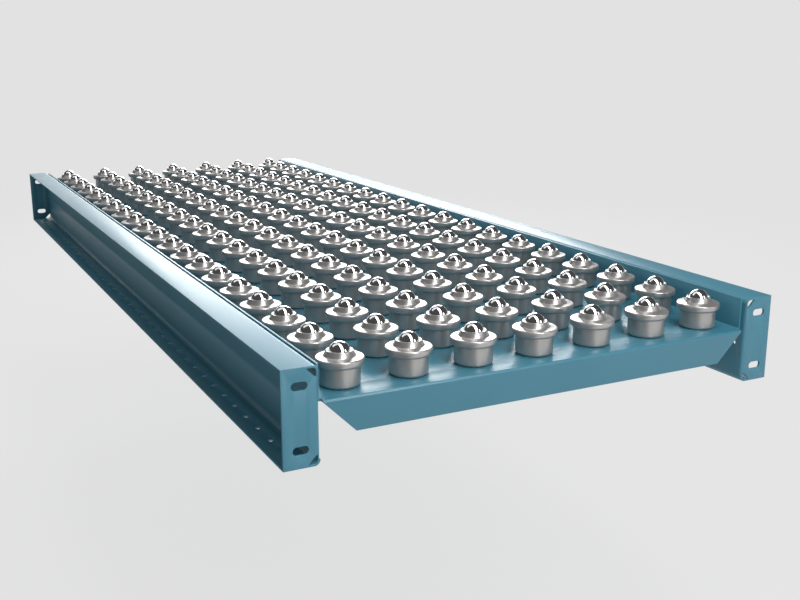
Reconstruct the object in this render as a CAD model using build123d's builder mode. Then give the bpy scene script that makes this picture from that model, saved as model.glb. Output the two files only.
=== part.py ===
from build123d import *
from math import sqrt
import os

# A ball transfer conveyor: a folded deck between two side channels carries a square grid of
# ball transfer units. Origin at the middle of the footprint, X across, Y along, Z up.

# Layout of the balls
ball_pitch = 100
columns = 7
rows = 20
edge_margin = 50

# Side channels
channel_sheet = 3
channel_height = 132
flange_width = 50
channel_bend = 8
end_bend = 5

# Slots of the end tabs, and holes of the flanges and webs
slot_length = 22
slot_width = 11
slot_from_back = 26
slot_from_edge = 24
flange_hole_diameter = 9
flange_hole_pitch = 50
flange_hole_from_back = 29
web_hole_diameter = 7
web_hole_from_end = 20
web_hole_height = 59

# Corner reliefs of the end tabs
relief_from_back = 5.5
relief_cut = 11

# Deck
deck_height = 84
deck_sheet = 3
deck_bend = 4
upstand_setdown = 1
upstand_setback = 9
apron_drop = 47
apron_corner_inset = 6

# Cross members under the deck, each placed by the number of ball rows in front of it
rows_before_front_member = 4
rows_before_middle_member = 10
rows_before_rear_member = 16
cross_member_height = 50
cross_member_width = 30
cross_member_sheet = 3
cross_member_bend = 5

# Ball transfer unit, with heights above the deck
ball_radius = 15
ball_centre = 43
ball_gap = 0.3
body_radius = 27
body_wall = 2.4
body_floor = 3
body_corner = 4
body_flange_radius = 30
body_flange = 2.4
race_sheet = 2
collar_radius = 32.4
collar_height = 38.2
collar_round = 2
hem_height = 27
cap_sheet = 1.6
cap_gap = 0.3
neck_radius = 21.4
neck_rise = 1
neck_wall = 1.8
ring_radius = 18
ring_height = 47
ring_round = 1.2
support_ball_diameter = 4
support_bed_height = 38
seat_gap = 0.15

# Fixing of each unit
stud_diameter = 8
stud_head_diameter = 18
stud_head_height = 3
stud_point = 1
thread_end = 2
washer_diameter = 16
washer_thickness = 1.6
nut_across_flats = 13
nut_height = 6.5
hole_gap = 0.5
thread_gap = 0.1

# What follows from the sizes above
inner_width = (columns - 1) * ball_pitch + 2 * edge_margin
length = (rows - 1) * ball_pitch + 2 * edge_margin
half_width = inner_width / 2
half_length = length / 2
flange_hole_count = int((length - ball_pitch) / flange_hole_pitch) + 1
deck_underside = deck_height - deck_sheet

os.makedirs("parts", exist_ok=True)


def save(part, name):
    part.label = name
    export_step(part, f"parts/{name}.step")


def save_per_unit(piece, name):
    with BuildPart() as group:
        with Locations((0, 0, deck_height)):
            with GridLocations(ball_pitch, ball_pitch, columns, rows):
                add(piece, mode=Mode.REPLACE)
    save(group.part, name)


# Side channels: each is one folded sheet that opens outwards. Its back stands against the deck,
# and a tab folded from each end of the back closes the channel between the flanges.
def side_channel(side):
    def across(distance):
        return side * (half_width + distance)

    def relief_outline(edge, inwards):
        return [
            (across(0), edge + inwards * (channel_sheet + relief_cut)),
            (across(relief_from_back), edge + inwards * (channel_sheet + relief_cut)),
            (across(relief_from_back + relief_cut), edge + inwards * channel_sheet),
            (across(flange_width), edge + inwards * channel_sheet),
        ]

    with BuildPart() as channel:
        with BuildSketch(Plane.XZ.offset(-half_length)):
            with BuildLine():
                FilletPolyline(
                    (across(flange_width), 0),
                    (across(0), 0),
                    (across(0), channel_height),
                    (across(flange_width), channel_height),
                    radius=channel_bend,
                )
                offset(amount=channel_sheet, side=Side.RIGHT if side > 0 else Side.LEFT)
            make_face()
        extrude(amount=length)
        # end tabs, cut at 45 degrees beside the back to leave the corner reliefs
        for end in (-1, 1):
            with BuildSketch(Plane.XZ.offset(end * half_length)):
                with BuildLine():
                    low = relief_outline(0, 1)
                    high = relief_outline(channel_height, -1)
                    Polyline(*low, *reversed(high), close=True)
                make_face()
            extrude(amount=-end * channel_sheet)
            # the outer round of the fold between back and tab
            with BuildSketch(Plane.XY.offset(channel_bend)):
                with Locations((across(end_bend / 2), -end * (half_length - end_bend / 2))):
                    Rectangle(end_bend, end_bend)
                with Locations((across(end_bend), -end * (half_length - end_bend))):
                    Circle(end_bend, mode=Mode.SUBTRACT)
            extrude(amount=channel_height - 2 * channel_bend, mode=Mode.SUBTRACT)
        # slots of the end tabs
        slot_centre = (across(slot_from_back), channel_height / 2)
        with BuildSketch(Plane.XZ.offset(half_length)):
            with Locations(slot_centre):
                with GridLocations(0, channel_height - 2 * slot_from_edge, 1, 2):
                    SlotOverall(slot_length, slot_width)
        extrude(amount=-length, mode=Mode.SUBTRACT)
        # row of holes along the lower flange, in step with the balls
        with BuildSketch(Plane.XY):
            with Locations((across(flange_hole_from_back), 0)):
                with GridLocations(0, flange_hole_pitch, 1, flange_hole_count):
                    Circle(flange_hole_diameter / 2)
        extrude(amount=channel_sheet, mode=Mode.SUBTRACT)
        # spare hole near each end of the back
        with BuildSketch(Plane.YZ.offset(across(0))):
            with Locations((0, web_hole_height)):
                with GridLocations(length - 2 * web_hole_from_end, 0, 2, 1):
                    Circle(web_hole_diameter / 2)
        extrude(amount=side * channel_sheet, mode=Mode.SUBTRACT)
    return channel


for side, name in ((-1, "left_side_channel"), (1, "right_side_channel")):
    save(side_channel(side).part, name)

# Deck: one sheet folded up along both sides and down at both ends. It is parted where its folds
# begin into the flat plate, the two upstands and the two aprons, which meet face to face.
upstand_top = channel_height - upstand_setdown
apron_foot = deck_height - apron_drop
apron_half_width = half_width - apron_corner_inset
fold_start_x = half_width - deck_bend
fold_start_y = half_length - deck_bend
upstand_length = length - 2 * upstand_setback
with BuildPart() as plate:
    with BuildSketch(Plane.XY.offset(deck_underside)):
        Rectangle(2 * fold_start_x, upstand_length)
        Rectangle(2 * apron_half_width, 2 * fold_start_y)
        # one hole for each unit's stud
        with GridLocations(ball_pitch, ball_pitch, columns, rows):
            Circle(stud_diameter / 2 + hole_gap, mode=Mode.SUBTRACT)
    extrude(amount=deck_sheet)
save(plate.part, "deck_plate")

for side, name in ((-1, "left_upstand"), (1, "right_upstand")):
    with BuildPart() as upstand:
        with BuildSketch(Plane.XZ.offset(-upstand_length / 2)):
            with BuildLine():
                fold = JernArc((side * fold_start_x, deck_underside), (side, 0), deck_bend, side * 90)
                Line(fold @ 1, (side * half_width, upstand_top))
                offset(amount=deck_sheet, side=Side.LEFT if side > 0 else Side.RIGHT)
            make_face()
        extrude(amount=upstand_length)
    save(upstand.part, name)

for end, name in ((-1, "front_apron"), (1, "rear_apron")):
    with BuildPart() as apron:
        with BuildSketch(Plane.YZ.offset(-apron_half_width)):
            with BuildLine():
                fold = JernArc((end * fold_start_y, deck_height), (end, 0), deck_bend, -end * 90)
                Line(fold @ 1, (end * half_length, apron_foot))
                offset(amount=deck_sheet, side=Side.RIGHT if end > 0 else Side.LEFT)
            make_face()
        extrude(amount=2 * apron_half_width)
        # lower corners, cut at 45 degrees
        with BuildSketch(Plane.XZ.offset(-half_length)):
            with BuildLine():
                Polyline(
                    (apron_half_width, deck_underside),
                    (apron_half_width, apron_foot),
                    (apron_half_width - (deck_underside - apron_foot), apron_foot),
                    close=True,
                )
            make_face()
            mirror(about=Plane.YZ)
        extrude(amount=length, mode=Mode.SUBTRACT)
    save(apron.part, name)

# Cross members: folded channels between the side channels that carry the deck between two rows
cross_member_places = (
    (rows_before_front_member, "front_cross_member"),
    (rows_before_middle_member, "middle_cross_member"),
    (rows_before_rear_member, "rear_cross_member"),
)
for rows_before, name in cross_member_places:
    middle = edge_margin + (rows_before - 0.5) * ball_pitch - half_length
    with BuildPart() as cross_member:
        with BuildSketch(Plane.YZ.offset(-half_width)):
            with BuildLine():
                FilletPolyline(
                    (middle + cross_member_width / 2, deck_underside),
                    (middle - cross_member_width / 2, deck_underside),
                    (middle - cross_member_width / 2, deck_underside - cross_member_height),
                    (middle + cross_member_width / 2, deck_underside - cross_member_height),
                    radius=cross_member_bend,
                )
                offset(amount=cross_member_sheet, side=Side.LEFT)
            make_face()
        extrude(amount=inner_width)
    save(cross_member.part, name)

# Ball transfer unit: its round pieces are turned about Z in the unit's own frame, from the
# deck's top face up, and each is then set on the deck once for every ball.
stud_hole_radius = stud_diameter / 2 + hole_gap
body_inner = body_radius - body_wall
collar_inner = collar_height - cap_sheet
body_rim = collar_inner - race_sheet
flange_underside = body_rim - body_flange
lip_underside = ring_height - cap_sheet
cap_inner_radius = body_flange_radius + cap_gap
hem_inner_radius = body_radius + cap_gap
hem_round = collar_radius - hem_inner_radius
support_inner = ball_radius + ball_gap
race_inner = support_inner + support_ball_diameter
support_outer = race_inner - seat_gap
race_outer = race_inner + race_sheet


def around_ball(radius, height):
    return sqrt(radius**2 - (height - ball_centre) ** 2)


def neck_inner(height):
    share = (height - collar_inner) / (lip_underside - collar_inner)
    return neck_radius - neck_wall - share * (neck_radius - ring_radius)


# Body: a pressed steel cup with a flange round its rim
with BuildPart() as body:
    with BuildSketch(Plane.XZ):
        with BuildLine():
            Line((stud_hole_radius, 0), (body_radius - body_corner, 0))
            JernArc((body_radius - body_corner, 0), (1, 0), body_corner, 90)
            Polyline(
                (body_radius, body_corner),
                (body_radius, flange_underside),
                (body_flange_radius, flange_underside),
                (body_flange_radius, body_rim),
                (body_inner, body_rim),
                (body_inner, body_floor),
                (stud_hole_radius, body_floor),
                (stud_hole_radius, 0),
            )
        make_face()
    revolve(axis=Axis.Z)
save_per_unit(body.part, "unit_bodies")

# Race: a hardened bowl whose flange lies on the rim of the body
with BuildPart() as race:
    with BuildSketch(Plane.XZ):
        with BuildLine():
            RadiusArc(
                (0, ball_centre - race_inner), (around_ball(race_inner, collar_inner), collar_inner), -race_inner
            )
            Polyline(
                (around_ball(race_inner, collar_inner), collar_inner),
                (body_flange_radius, collar_inner),
                (body_flange_radius, body_rim),
                (around_ball(race_outer, body_rim), body_rim),
            )
            RadiusArc((around_ball(race_outer, body_rim), body_rim), (0, ball_centre - race_outer), race_outer)
            Line((0, ball_centre - race_outer), (0, ball_centre - race_inner))
        make_face()
    revolve(axis=Axis.Z)
save_per_unit(race.part, "ball_races")

# Support balls: the layer of small balls between the race and the main ball, as one shell
with BuildPart() as support_bed:
    with BuildSketch(Plane.XZ):
        with BuildLine():
            inner_edge = around_ball(support_inner, support_bed_height)
            outer_edge = around_ball(support_outer, support_bed_height)
            RadiusArc((0, ball_centre - support_inner), (inner_edge, support_bed_height), -support_inner)
            Line((inner_edge, support_bed_height), (outer_edge, support_bed_height))
            RadiusArc((outer_edge, support_bed_height), (0, ball_centre - support_outer), support_outer)
            Line((0, ball_centre - support_outer), (0, ball_centre - support_inner))
        make_face()
    revolve(axis=Axis.Z)
save_per_unit(support_bed.part, "support_ball_beds")

# Wiper: a felt ring in the neck of the cap that keeps dirt off the support balls
with BuildPart() as wiper:
    with BuildSketch(Plane.XZ):
        wiper_foot = support_bed_height + seat_gap
        with BuildLine():
            Polyline(
                (support_inner + seat_gap, wiper_foot),
                (neck_inner(wiper_foot) - seat_gap, wiper_foot),
                (neck_inner(lip_underside) - seat_gap, lip_underside),
                (support_inner + seat_gap, lip_underside),
                close=True,
            )
        make_face()
    revolve(axis=Axis.Z)
save_per_unit(wiper.part, "wiper_rings")

# Cap: pressed over the race and the body, and rolled under the flange into a thick hem
with BuildPart() as cap:
    with BuildSketch(Plane.XZ):
        with BuildLine():
            Line((around_ball(support_inner, ring_height), ring_height), (ring_radius - ring_round, ring_height))
            JernArc((ring_radius - ring_round, ring_height), (1, 0), ring_round, -90)
            Polyline(
                (ring_radius, ring_height - ring_round),
                (neck_radius, collar_height + neck_rise),
                (collar_radius - collar_round, collar_height),
            )
            JernArc((collar_radius - collar_round, collar_height), (1, 0), collar_round, -90)
            Line((collar_radius, collar_height - collar_round), (collar_radius, hem_height + hem_round))
            JernArc((collar_radius, hem_height + hem_round), (0, -1), hem_round, -90)
            Polyline(
                (hem_inner_radius, hem_height),
                (hem_inner_radius, flange_underside),
                (cap_inner_radius, flange_underside),
                (cap_inner_radius, collar_inner),
                (neck_inner(collar_inner), collar_inner),
                (neck_inner(lip_underside), lip_underside),
                (around_ball(support_inner, lip_underside), lip_underside),
                (around_ball(support_inner, ring_height), ring_height),
            )
        make_face()
    revolve(axis=Axis.Z)
save_per_unit(cap.part, "unit_caps")

# Stud: its head is held inside the body and its shank passes down through the deck
washer_underside = -deck_sheet - washer_thickness
stud_end = washer_underside - nut_height - thread_end
with BuildPart() as stud:
    with BuildSketch(Plane.XZ):
        with BuildLine():
            Polyline(
                (0, body_floor + stud_head_height),
                (stud_head_diameter / 2, body_floor + stud_head_height),
                (stud_head_diameter / 2, body_floor),
                (stud_diameter / 2, body_floor),
                (stud_diameter / 2, stud_end + stud_point),
                (stud_diameter / 2 - stud_point, stud_end),
                (0, stud_end),
                close=True,
            )
        make_face()
    revolve(axis=Axis.Z)
save_per_unit(stud.part, "fixing_studs")

# Washer and nut: they clamp the deck from below
with BuildPart() as washer:
    with BuildSketch(Plane.XY.offset(washer_underside)):
        Circle(washer_diameter / 2)
        Circle(stud_hole_radius, mode=Mode.SUBTRACT)
    extrude(amount=washer_thickness)
save_per_unit(washer.part, "stud_washers")

with BuildPart() as nut:
    with BuildSketch(Plane.XY.offset(washer_underside)):
        RegularPolygon(nut_across_flats / 2, 6, major_radius=False)
        Circle(stud_diameter / 2 + thread_gap, mode=Mode.SUBTRACT)
    extrude(amount=-nut_height)
save_per_unit(nut.part, "stud_nuts")

# Main balls: one row across the deck shares one rolling axis
for row in range(rows):
    row_place = (0, (row + 0.5) * ball_pitch - rows * ball_pitch / 2, deck_height + ball_centre)
    with BuildPart() as balls:
        with Locations(row_place):
            with GridLocations(ball_pitch, 0, columns, 1):
                Sphere(ball_radius)
    save(balls.part, f"balls_row_{row + 1:02d}")
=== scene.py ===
import bpy
from math import cos, pi, radians, sin
from mathutils import Matrix, Vector


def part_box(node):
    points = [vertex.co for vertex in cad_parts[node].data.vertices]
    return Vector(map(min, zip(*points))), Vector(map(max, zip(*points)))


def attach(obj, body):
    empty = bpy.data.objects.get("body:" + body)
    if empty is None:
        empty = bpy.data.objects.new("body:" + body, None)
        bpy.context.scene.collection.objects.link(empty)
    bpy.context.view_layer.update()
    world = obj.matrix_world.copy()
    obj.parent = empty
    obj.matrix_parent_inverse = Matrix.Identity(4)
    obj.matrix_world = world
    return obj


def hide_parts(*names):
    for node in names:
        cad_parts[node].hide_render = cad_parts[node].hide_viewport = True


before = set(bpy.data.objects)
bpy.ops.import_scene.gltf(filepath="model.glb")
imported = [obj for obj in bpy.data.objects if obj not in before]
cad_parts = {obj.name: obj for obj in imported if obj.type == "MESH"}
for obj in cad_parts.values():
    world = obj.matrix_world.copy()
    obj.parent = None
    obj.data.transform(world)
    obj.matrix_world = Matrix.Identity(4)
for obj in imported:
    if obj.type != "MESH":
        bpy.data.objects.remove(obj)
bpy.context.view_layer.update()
bpy.ops.object.select_all(action="DESELECT")

# Camera. It stands in front of the left side channel, a little above the deck, and looks along
# the table to the rear right.
camera_place = Vector((-0.81758, -2.14123, 0.52974))
camera_yaw = 0.4698
camera_pitch = -0.252
camera_roll = -0.0023
focal_pixels = 1056.32
photo_width = 800
sensor_width = 36
forward = Vector(
    (sin(camera_yaw) * cos(camera_pitch), cos(camera_yaw) * cos(camera_pitch), sin(camera_pitch))
)
level_right = Vector((cos(camera_yaw), -sin(camera_yaw), 0))
level_up = level_right.cross(forward)
right = cos(camera_roll) * level_right + sin(camera_roll) * level_up
up = cos(camera_roll) * level_up - sin(camera_roll) * level_right
lens = bpy.data.cameras.new("photo_camera")
lens.sensor_width = sensor_width
lens.lens = focal_pixels * sensor_width / photo_width
camera = bpy.data.objects.new("photo_camera", lens)
camera_turn = Matrix((right, up, -forward)).transposed().to_4x4()
camera.matrix_world = Matrix.Translation(camera_place) @ camera_turn
bpy.context.scene.collection.objects.link(camera)
bpy.context.scene.camera = camera
bpy.context.scene.view_settings.view_transform = "Standard"


# Shaders. A wire carries one socket, so that the materials below read as plain arithmetic on
# noise, colours and heights.
class Wire:
    """A socket of a shader, with arithmetic that adds Math nodes."""

    def __init__(self, tree, socket=None):
        self.tree = tree
        self.socket = socket

    def node(self, kind, settings=None, inputs=None, output=0):
        made = self.tree.nodes.new(kind)
        for name, value in (settings or {}).items():
            setattr(made, name, value)
        for name, value in (inputs or {}).items():
            if isinstance(value, Wire):
                self.tree.links.new(value.socket, made.inputs[name])
            else:
                made.inputs[name].default_value = value
        return Wire(self.tree, made.outputs[output]) if made.outputs else None

    def math(self, operation, other=0.0):
        return self.node("ShaderNodeMath", {"operation": operation}, {0: self, 1: other})

    def __add__(self, other):
        return self.math("ADD", other)

    def __sub__(self, other):
        return self.math("SUBTRACT", other)

    def __mul__(self, other):
        return self.math("MULTIPLY", other)

    def __truediv__(self, other):
        return self.math("DIVIDE", other)

    def __pow__(self, other):
        return self.math("POWER", other)

    __radd__ = __add__
    __rmul__ = __mul__

    def noise(self, scale, detail):
        """Noise at the point that this wire carries."""
        return self.node("ShaderNodeTexNoise", None, {"Vector": self, "Scale": scale, "Detail": detail})

    def blend(self, low, high):
        """A colour between two, as this wire goes from 0 to 1."""
        return self.node("ShaderNodeMix", {"data_type": "RGBA"}, {0: self, 6: low, 7: high}, output=2)

    def bump(self, strength, distance):
        """A normal raised by this wire, with the distance in metres."""
        inputs = {"Height": self, "Strength": strength, "Distance": distance}
        return self.node("ShaderNodeBump", None, inputs)

    def mix_shaders(self, first, second):
        return self.node("ShaderNodeMixShader", None, {0: self, 1: first, 2: second})

    def make_surface(self, kind="ShaderNodeOutputMaterial"):
        self.node(kind, None, {"Surface": self})


def empty_shader(owner):
    owner.use_nodes = True
    owner.node_tree.nodes.clear()
    return Wire(owner.node_tree)


def object_point(shader):
    return shader.node("ShaderNodeTexCoord", output="Object")


def grey(value):
    return (value, value, value, 1)


# Studio. A pale floor, clear from below, and a pale backdrop, with a strip light in front and a
# broad light over the table. Two softboxes behind it lay their glare along the side channels.
backdrop_grey = 0.76
world_light = 0.32
floor_reach = 16
floor_height = -0.5
floor_near = 1.8
floor_far = 5.0
floor_evenness = 0.92
floor_colour = 0.88
floor_grain = 0.02


def seen_as_backdrop(shader):
    """1 for the rays that see the backdrop, straight, in metal or through glass."""
    kinds = ("Is Camera Ray", "Is Glossy Ray", "Is Transmission Ray")
    seen, glossy, through = (shader.node("ShaderNodeLightPath", output=kind) for kind in kinds)
    return (seen + glossy + through).math("MINIMUM", 1.0)


world = bpy.data.worlds.new("studio")
bpy.context.scene.world = world
sky = empty_shader(world)
sky_light = sky.node("ShaderNodeBackground", None, {"Color": grey(world_light)})
sky_seen = sky.node("ShaderNodeBackground", None, {"Color": grey(backdrop_grey)})
seen_as_backdrop(sky).mix_shaders(sky_light, sky_seen).make_surface("ShaderNodeOutputWorld")

floor_paint = bpy.data.materials.new("pale_floor")
floor_shader = empty_shader(floor_paint)
floor_point = object_point(floor_shader)
length = {"operation": "LENGTH"}
from_middle = floor_shader.node("ShaderNodeVectorMath", length, {0: floor_point}, output="Value")
fade_settings = {"interpolation_type": "SMOOTHSTEP"}
fade_inputs = {
    "Value": from_middle,
    "From Min": floor_near,
    "From Max": floor_far,
    "To Min": floor_evenness,
}
fade = floor_shader.node("ShaderNodeMapRange", fade_settings, fade_inputs)
floor_tone = floor_colour - floor_grain / 2 + floor_grain * floor_point.noise(60.0, 3.0)
floor_lit = floor_shader.node("ShaderNodeBsdfDiffuse", None, {"Color": floor_tone})
plain_inputs = {"Color": grey(backdrop_grey), "Strength": 1.0}
floor_plain = floor_shader.node("ShaderNodeEmission", None, plain_inputs)
from_below = floor_shader.node("ShaderNodeNewGeometry", output="Backfacing")
clear = floor_shader.node("ShaderNodeBsdfTransparent")
from_below.mix_shaders(fade.mix_shaders(floor_lit, floor_plain), clear).make_surface()

bpy.ops.mesh.primitive_circle_add(
    vertices=96, radius=floor_reach, fill_type="NGON", location=(0, 0, floor_height)
)
floor = bpy.context.object
floor.name = "studio_floor"
floor.data.materials.append(floor_paint)


def soft_light(name, place, target, width, height, power):
    lamp = bpy.data.lights.new(name, "AREA")
    lamp.shape = "RECTANGLE"
    lamp.size = width
    lamp.size_y = height
    lamp.energy = power
    stand = bpy.data.objects.new(name, lamp)
    aim = Vector(target) - Vector(place)
    stand.matrix_world = Matrix.Translation(place) @ aim.to_track_quat("-Z", "Y").to_matrix().to_4x4()
    stand.visible_camera = False
    bpy.context.scene.collection.objects.link(stand)


soft_light("front_arch", (0.1, -2.6, 1.9), (0, -1.0, -0.2), 0.9, 5.2, 100)
soft_light("front_fill", (2.4, -3.8, 1.3), (0.1, -0.4, 0.1), 0.8, 1.6, 16)
soft_light("overhead", (-0.9, 0.6, 2.6), (0, 0.2, 0.1), 1.6, 3.0, 14)
soft_light("rear_softbox", (2.0, 4.0, 2.2), (0, 0, 0.1), 3.4, 2.0, 205)
soft_light("rear_low", (0.4, 4.4, 0.75), (0, 0, 0.1), 2.6, 0.9, 8)


# Dark cards. A dome over the studio and a runner on the floor beside the left channel, which show
# only in the metal and in the gloss of the paint.
dome_radius = 9
dome_foot = 0.9
runner_place = (-1.75, 1.0, floor_height + 0.05)
runner_size = (2.6, 8.0, 1)
card_grey = 0.07
card_black = bpy.data.materials.new("card_black")
card_inputs = {"Color": grey(card_grey), "Strength": 1.0}
empty_shader(card_black).node("ShaderNodeEmission", None, card_inputs).make_surface()

bpy.ops.mesh.primitive_uv_sphere_add(segments=48, ring_count=24, radius=dome_radius, location=(0, 0, 0))
dark_dome = bpy.context.object
dark_dome.name = "dark_dome"
bpy.ops.object.mode_set(mode="EDIT")
bpy.ops.mesh.select_all(action="SELECT")
bpy.ops.mesh.bisect(plane_co=(0, 0, dome_foot), plane_no=(0, 0, 1), clear_inner=True)
bpy.ops.object.mode_set(mode="OBJECT")
bpy.ops.mesh.primitive_plane_add(size=1, location=runner_place)
dark_runner = bpy.context.object
dark_runner.name = "dark_runner"
dark_runner.scale = runner_size
for card in (dark_dome, dark_runner):
    card.data.materials.append(card_black)
    for ray in ("camera", "diffuse", "shadow", "transmission"):
        setattr(card, f"visible_{ray}", False)
bpy.ops.object.select_all(action="DESELECT")


# Folded sheet steel. The side channels, the deck and the cross members are 3 mm sheet, folded
# and welded, then coated together in semi-gloss petrol blue powder with a fine orange peel.
paint_deep = (0.030, 0.150, 0.215, 1)
paint_light = (0.042, 0.185, 0.255, 1)
merge_distance = 1e-5
flat_angle = radians(1)
smooth_angle = radians(38)
edge_round = 0.0004
edge_angle = radians(50)
fold_start_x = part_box("deck_plate")[1].x
fold_start_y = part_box("deck_plate")[1].y


def powder_coat():
    material = bpy.data.materials.new("powder_coat")
    start = empty_shader(material)
    point = object_point(start)
    cloud = point.noise(7.0, 4.0)
    peel = point.noise(620.0, 2.0)
    grit = point.noise(2600.0, 1.0)
    inputs = {
        "Base Color": (cloud * 0.7 + grit * 0.3).blend(paint_deep, paint_light),
        "Roughness": 0.38 + cloud * 0.10 + grit * 0.04,
        "Normal": (peel * 0.75 + grit * 0.25).bump(0.12, 0.0004),
        "Coat Weight": 0.35,
        "Coat Roughness": 0.34,
    }
    start.node("ShaderNodeBsdfPrincipled", None, inputs).make_surface()
    return material


painted = powder_coat()


def near(value, place):
    return abs(abs(value) - place) < merge_distance


def coated_sheet(name, *nodes):
    """One painted piece from the nodes that the folded sheet is parted into."""
    pieces = []
    for node in nodes:
        pieces.append(bpy.data.objects.new(name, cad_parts[node].data.copy()))
        bpy.context.scene.collection.objects.link(pieces[-1])
        pieces[-1].select_set(True)
    piece = pieces[0]
    bpy.context.view_layer.objects.active = piece
    bpy.ops.object.join()
    bpy.ops.object.mode_set(mode="EDIT")
    bpy.ops.mesh.select_all(action="SELECT")
    bpy.ops.mesh.remove_doubles(threshold=merge_distance)
    bpy.ops.mesh.select_all(action="DESELECT")
    bpy.ops.object.mode_set(mode="OBJECT")
    for face in piece.data.polygons:
        joined_at_side = near(face.normal.x, 1) and near(face.center.x, fold_start_x)
        joined_at_end = near(face.normal.y, 1) and near(face.center.y, fold_start_y)
        face.select = len(nodes) > 1 and (joined_at_side or joined_at_end)
    bpy.ops.object.mode_set(mode="EDIT")
    bpy.ops.mesh.delete(type="FACE")
    bpy.ops.mesh.select_all(action="SELECT")
    bpy.ops.mesh.dissolve_limited(angle_limit=flat_angle)
    bpy.ops.object.mode_set(mode="OBJECT")
    piece.data.materials.clear()
    piece.data.materials.append(painted)
    round_edges = piece.modifiers.new("round_edges", "BEVEL")
    round_edges.width = edge_round
    round_edges.segments = 2
    round_edges.limit_method = "ANGLE"
    round_edges.angle_limit = edge_angle
    bpy.ops.object.modifier_apply(modifier=round_edges.name)
    bpy.ops.object.shade_smooth_by_angle(angle=smooth_angle)
    piece.select_set(False)
    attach(piece, "frame")
    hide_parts(*nodes)


deck_nodes = ("deck_plate", "left_upstand", "right_upstand", "front_apron", "rear_apron")
channel_nodes = ("left_side_channel", "right_side_channel")
cross_nodes = ("front_cross_member", "middle_cross_member", "rear_cross_member")
coated_sheet("coated_deck", *deck_nodes)
for sheet_node in channel_nodes + cross_nodes:
    coated_sheet(f"coated_{sheet_node}", sheet_node)


# Bodies of the ball units. Each is a deep-drawn steel cup with a flat foot and a small corner
# radius, left in the satin finish of the press, with fine rings and streaks round its wall.
millimetre = 0.001
ball_pitch = 0.1
columns = 7
rows = 20
deck_top = 0.084
turn_steps = 32
first_unit = Vector((-(columns - 1) * ball_pitch / 2, -(rows - 1) * ball_pitch / 2, deck_top))


def arc(centre, radius, start, end, steps):
    turns = (radians(start + (end - start) * step / steps) for step in range(steps + 1))
    return [(centre[0] + radius * cos(turn), centre[1] + radius * sin(turn)) for turn in turns]


def repeat(piece, count, offset):
    """The active piece becomes a line of copies, each an offset from the last."""
    copies = piece.modifiers.new("copies", "ARRAY")
    copies.count = count
    copies.use_relative_offset = False
    copies.use_constant_offset = True
    copies.constant_offset_displace = offset
    bpy.ops.object.modifier_apply(modifier=copies.name)


def turned_unit_pieces(name, outline):
    """The outline, in mm from the unit's axis and above the deck, is spun and set at each ball."""
    mesh = bpy.data.meshes.new(name)
    points = [first_unit + Vector((radius, 0, height)) * millimetre for radius, height in outline]
    edges = [(index, (index + 1) % len(points)) for index in range(len(points))]
    mesh.from_pydata(points, edges, [])
    piece = bpy.data.objects.new(name, mesh)
    bpy.context.scene.collection.objects.link(piece)
    piece.select_set(True)
    bpy.context.view_layer.objects.active = piece
    bpy.ops.object.mode_set(mode="EDIT")
    bpy.ops.mesh.select_all(action="SELECT")
    bpy.ops.mesh.spin(steps=turn_steps, angle=2 * pi, center=first_unit, axis=(0, 0, 1))
    bpy.ops.mesh.select_all(action="SELECT")
    bpy.ops.mesh.remove_doubles(threshold=merge_distance)
    bpy.ops.mesh.normals_make_consistent(inside=False)
    bpy.ops.object.mode_set(mode="OBJECT")
    bpy.ops.object.shade_smooth_by_angle(angle=smooth_angle)
    even_shade = piece.modifiers.new("even_shade", "WEIGHTED_NORMAL")
    even_shade.keep_sharp = True
    bpy.ops.object.modifier_apply(modifier=even_shade.name)
    repeat(piece, columns, (ball_pitch, 0, 0))
    repeat(piece, rows, (0, ball_pitch, 0))
    piece.select_set(False)
    return piece


def unit_place(point):
    """A point's distance from the axis of its own unit, its height, and its turn round the axis."""
    across, along, height = (
        point.node("ShaderNodeSeparateXYZ", None, {0: point}, output=axis) for axis in range(3)
    )
    near_x = ((across / ball_pitch + 0.5).math("FRACT") - 0.5) * ball_pitch
    near_y = ((along / ball_pitch).math("FRACT") - 0.5) * ball_pitch
    radius = (near_x * near_x + near_y * near_y) ** 0.5
    return radius, height, near_y.math("ARCTAN2", near_x)


def worked_steel(name, colour, metallic, roughness, ring_depth, streak_depth, smudge):
    """Bare steel with turned rings, drawn streaks and faint smudges."""
    material = bpy.data.materials.new(name)
    start = empty_shader(material)
    point = object_point(start)
    radius, height, turn = unit_place(point)
    ring_inputs = {0: radius * 2400.0, 1: height * 2400.0, 2: turn * 0.6}
    rings = start.node("ShaderNodeCombineXYZ", None, ring_inputs).noise(1.0, 2.0)
    streak_inputs = {0: turn * 26.0, 1: height * 40.0, 2: radius * 60.0}
    streaks = start.node("ShaderNodeCombineXYZ", None, streak_inputs).noise(1.0, 3.0)
    cloud = point.noise(45.0, 4.0)
    darker = tuple(channel * 0.86 for channel in colour) + (1,)
    lighter = tuple(min(1.0, channel * 1.06) for channel in colour) + (1,)
    inputs = {
        "Base Color": (cloud * 0.6 + streaks * 0.4).blend(darker, lighter),
        "Metallic": metallic,
        "Roughness": roughness - smudge / 2 + smudge * cloud,
        "Normal": (rings * ring_depth + streaks * streak_depth).bump(0.5, 0.0001),
    }
    start.node("ShaderNodeBsdfPrincipled", None, inputs).make_surface()
    return material


satin_steel = worked_steel(
    "satin_steel",
    (0.45, 0.44, 0.43),
    metallic=0.75,
    roughness=0.30,
    ring_depth=0.25,
    streak_depth=0.5,
    smudge=0.08,
)
body_outline = [
    (4.5, 0),
    *arc((23, 4), 4, -90, 0, 4),
    (27, 32.1),
    (30, 32.3),
    (30, 34.5),
    (24.6, 34.5),
    (24.6, 3),
    (4.5, 3),
]
bodies = turned_unit_pieces("drawn_cups", body_outline)
bodies.data.materials.append(satin_steel)
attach(bodies, "frame")
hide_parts("unit_bodies")


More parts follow.
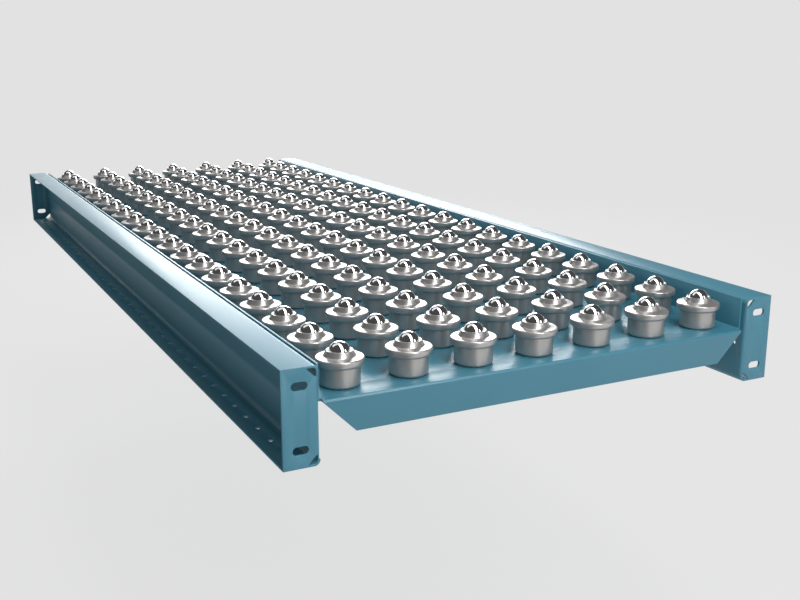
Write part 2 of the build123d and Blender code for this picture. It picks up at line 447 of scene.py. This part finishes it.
# Caps of the ball units. Each is a bright pressing: a thick rolled hem, a nearly flat shoulder,
# and a neck that narrows to the rounded ring that keeps the ball in.
polished_cap = worked_steel(
    "polished_cap",
    (0.48, 0.47, 0.46),
    metallic=0.76,
    roughness=0.29,
    ring_depth=0.18,
    streak_depth=0.1,
    smudge=0.06,
)
cap_outline = [
    (14.8, 45.5),
    (14.9, 46.6),
    (15.6, 47.0),
    *arc((16.8, 45.8), 1.2, 90, 0, 2),
    (20.9, 40.1),
    (22.3, 39.15),
    *arc((30.4, 36.2), 2, 90, 0, 3),
    *arc((27.3, 32.1), 5.1, 0, -90, 3),
    (27.3, 32.1),
    (30.3, 32.2),
    (30.3, 36.5),
    (19.6, 36.6),
    (16.3, 45.4),
]
caps = turned_unit_pieces("bright_caps", cap_outline)
caps.data.materials.append(polished_cap)
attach(caps, "frame")
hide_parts("unit_caps")


# Main balls. Polished 30 mm bearing balls, one row of seven to each rolling axis, so bright that
# they mirror the lamps, the caps round them and the dark sides of the studio.
ball_radius = 0.015
ball_height = 0.043
ball_cuts = 9
corner_ease = 0.18
ball_middle = first_unit + Vector((0, 0, ball_height))


def mirror_steel():
    material = bpy.data.materials.new("chrome_steel")
    start = empty_shader(material)
    point = object_point(start)
    inputs = {
        "Base Color": (0.80, 0.80, 0.81, 1),
        "Metallic": 1.0,
        "Roughness": 0.03 + 0.05 * point.noise(120.0, 4.0),
        "Normal": point.noise(1800.0, 2.0).bump(0.05, 0.00005),
    }
    start.node("ShaderNodeBsdfPrincipled", None, inputs).make_surface()
    return material


chrome_steel = mirror_steel()
bpy.ops.mesh.primitive_cube_add(size=2 * ball_radius, location=ball_middle)
ball = bpy.context.object
bpy.ops.object.mode_set(mode="EDIT")
bpy.ops.mesh.select_all(action="SELECT")
bpy.ops.mesh.subdivide(number_cuts=ball_cuts)
bpy.ops.object.mode_set(mode="OBJECT")
bpy.ops.object.transform_apply(location=True, rotation=True, scale=True)
for vertex in ball.data.vertices:
    spoke = (vertex.co - ball_middle) / ball_radius
    eased = Vector(axis * (1 - corner_ease * (1 - axis * axis)) for axis in spoke)
    vertex.co = ball_middle + eased.normalized() * ball_radius
bpy.ops.object.shade_smooth()
repeat(ball, columns, (ball_pitch, 0, 0))
ball.data.materials.append(chrome_steel)
for row in range(rows):
    row_balls = bpy.data.objects.new(f"mirror_balls_row_{row + 1:02d}", ball.data.copy())
    row_balls.data.transform(Matrix.Translation((0, row * ball_pitch, 0)))
    bpy.context.scene.collection.objects.link(row_balls)
    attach(row_balls, f"row_{row + 1:02d}")
    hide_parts(f"balls_row_{row + 1:02d}")
bpy.data.objects.remove(ball)


# Inside the units and under the deck. The hardened races, the support balls and the felt wipers
# are all but hidden, and the studs, washers and nuts are zinc plated.
def dense_felt():
    material = bpy.data.materials.new("wiper_felt")
    start = empty_shader(material)
    fibre = object_point(start).noise(1500.0, 5.0)
    inputs = {
        "Base Color": fibre.blend((0.03, 0.03, 0.03, 1), (0.12, 0.12, 0.11, 1)),
        "Roughness": 0.95,
        "Normal": fibre.bump(0.6, 0.0003),
    }
    start.node("ShaderNodeBsdfPrincipled", None, inputs).make_surface()
    return material


def finish_node(node, material):
    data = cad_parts[node].data
    data.materials.clear()
    data.materials.append(material)


hardened_steel = worked_steel(
    "hardened_steel",
    (0.42, 0.42, 0.41),
    metallic=1.0,
    roughness=0.25,
    ring_depth=0.2,
    streak_depth=0.1,
    smudge=0.08,
)
zinc_plate = worked_steel(
    "zinc_plate",
    (0.62, 0.63, 0.61),
    metallic=1.0,
    roughness=0.36,
    ring_depth=0.1,
    streak_depth=0.3,
    smudge=0.16,
)
finish_node("ball_races", hardened_steel)
finish_node("support_ball_beds", chrome_steel)
finish_node("wiper_rings", dense_felt())
for fastener in ("fixing_studs", "stud_washers", "stud_nuts"):
    finish_node(fastener, zinc_plate)
